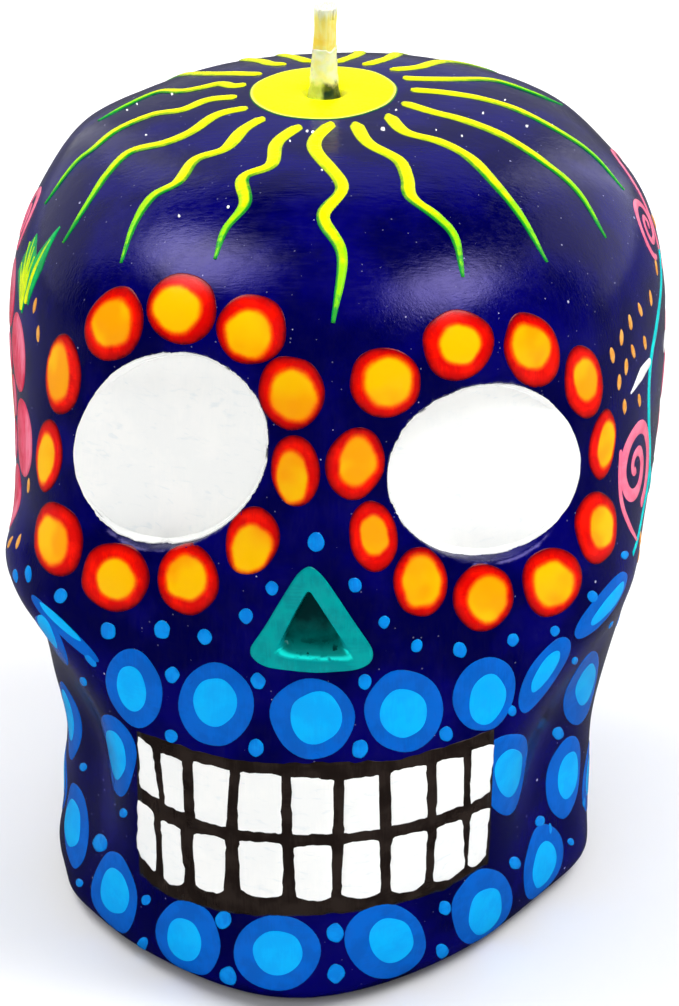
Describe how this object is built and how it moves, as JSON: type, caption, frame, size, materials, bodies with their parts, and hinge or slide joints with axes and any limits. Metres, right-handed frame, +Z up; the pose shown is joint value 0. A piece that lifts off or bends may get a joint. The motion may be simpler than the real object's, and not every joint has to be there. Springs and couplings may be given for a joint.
{
  "type": "skull candle",
  "caption": "Hand-painted wax skull candle with white eyes, teeth and a sun on its crown, and a short cotton wick.",
  "frame": {"origin": "middle of the whole candle's box on the flat base", "axes": "+Z up from the base to the crown, the face looks to -Y, +X to the viewer's right; left and right in the names are the viewer's"},
  "size_m": [0.0926, 0.1064, 0.1256],
  "materials": {
    "painted_wax": "deep blue paint on cast paraffin, varnished, with fine brush strokes",
    "white_paint": "thick white paint, satin",
    "turquoise_paint": "thick turquoise paint, satin",
    "yellow_paint": "thick bright yellow paint, satin",
    "cotton": "braided cotton, waxed, with a pale dry tip",
    "clear_wax": "frosty hardened wax",
    "tinned_steel": "thin pressed sheet"
  },
  "bodies": {
    "root": {"wax_skull": "painted_wax", "left_eye_enamel": "white_paint", "right_eye_enamel": "white_paint", "nose_enamel": "turquoise_paint", "teeth_enamel": "white_paint", "sun_enamel": "yellow_paint", "wick": "cotton", "wick_wax_sleeve": "clear_wax", "wick_tab": "tinned_steel"}
  },
  "joints": []
}
